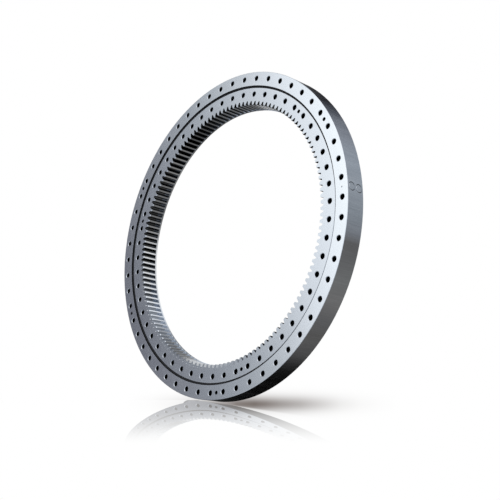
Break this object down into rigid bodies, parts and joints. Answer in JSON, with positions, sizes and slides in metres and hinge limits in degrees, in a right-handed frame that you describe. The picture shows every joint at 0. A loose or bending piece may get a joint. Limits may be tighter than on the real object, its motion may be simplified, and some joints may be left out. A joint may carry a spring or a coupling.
{
  "type": "slewing ring bearing",
  "caption": "Slewing ring bearing: an internally geared inner ring turns on rows of balls inside a plain outer ring, with bolt holes all around both rings' faces.",
  "frame": {"origin": "on the axis of rotation, in the plane of the inner ring's back face", "axes": "+Z along the axis of rotation towards the front faces, where the outer ring stands proud of the inner ring; +X through the centre of a bolt hole in each ring"},
  "size_m": [2.085, 2.085, 0.139],
  "materials": {
    "outer_ring_steel": "ground satin steel",
    "gear_ring_steel": "ground satin steel",
    "ball_steel": "polished chrome steel",
    "spacer_nylon": "moulded nylon",
    "seal_rubber": "matt nitrile rubber",
    "plug_steel": "turned steel",
    "pin_steel": "ground steel",
    "outlet_plug_steel": "zinc plated",
    "nipple_brass": "turned brass",
    "check_ball_steel": "polished",
    "spring_steel": "drawn wire"
  },
  "bodies": {
    "outer_ring": {"outer_ring": "outer_ring_steel", "front_seal": "seal_rubber", "upper_loading_plug": "plug_steel", "lower_loading_plug": "plug_steel", "upper_taper_pin": "pin_steel", "lower_taper_pin": "pin_steel", "grease_outlet_plugs": "outlet_plug_steel", "grease_nipple_1": "nipple_brass", "grease_nipple_2": "nipple_brass", "grease_nipple_3": "nipple_brass", "grease_nipple_4": "nipple_brass", "nipple_spring_1": "spring_steel", "nipple_spring_2": "spring_steel", "nipple_spring_3": "spring_steel", "nipple_spring_4": "spring_steel"},
    "inner_gear_ring": {"inner_gear_ring": "gear_ring_steel", "back_seal": "seal_rubber"},
    "upper_ball_row": {"upper_balls": "ball_steel", "upper_spacers": "spacer_nylon"},
    "lower_ball_row": {"lower_balls": "ball_steel", "lower_spacers": "spacer_nylon"},
    "nipple_ball_1": {"nipple_ball_1": "check_ball_steel"},
    "nipple_ball_2": {"nipple_ball_2": "check_ball_steel"},
    "nipple_ball_3": {"nipple_ball_3": "check_ball_steel"},
    "nipple_ball_4": {"nipple_ball_4": "check_ball_steel"}
  },
  "joints": [
    {"name": "slew", "type": "hinge", "parent": "outer_ring", "child": "inner_gear_ring", "pos_m": [0, 0, 0.065], "axis": [0, 0, 1], "continuous": true},
    {"name": "upper_row_orbit", "type": "hinge", "parent": "outer_ring", "child": "upper_ball_row", "pos_m": [0, 0, 0.104], "axis": [0, 0, 1], "continuous": true},
    {"name": "lower_row_orbit", "type": "hinge", "parent": "outer_ring", "child": "lower_ball_row", "pos_m": [0, 0, 0.044], "axis": [0, 0, 1], "continuous": true},
    {"name": "nipple_1_lift", "type": "slide", "parent": "outer_ring", "child": "nipple_ball_1", "axis": [0, 0, 1], "range_m": [0, 0.0012], "stiffness_N_per_m": 900, "springref_m": -0.002, "deforming": ["nipple_spring_1"]},
    {"name": "nipple_2_lift", "type": "slide", "parent": "outer_ring", "child": "nipple_ball_2", "axis": [0, 0, 1], "range_m": [0, 0.0012], "stiffness_N_per_m": 900, "springref_m": -0.002, "deforming": ["nipple_spring_2"]},
    {"name": "nipple_3_lift", "type": "slide", "parent": "outer_ring", "child": "nipple_ball_3", "axis": [0, 0, 1], "range_m": [0, 0.0012], "stiffness_N_per_m": 900, "springref_m": -0.002, "deforming": ["nipple_spring_3"]},
    {"name": "nipple_4_lift", "type": "slide", "parent": "outer_ring", "child": "nipple_ball_4", "axis": [0, 0, 1], "range_m": [0, 0.0012], "stiffness_N_per_m": 900, "springref_m": -0.002, "deforming": ["nipple_spring_4"]}
  ],
  "couplings": [
    {"joint": "upper_row_orbit", "follows": "slew", "ratio": 0.4926},
    {"joint": "lower_row_orbit", "follows": "slew", "ratio": 0.4926}
  ]
}
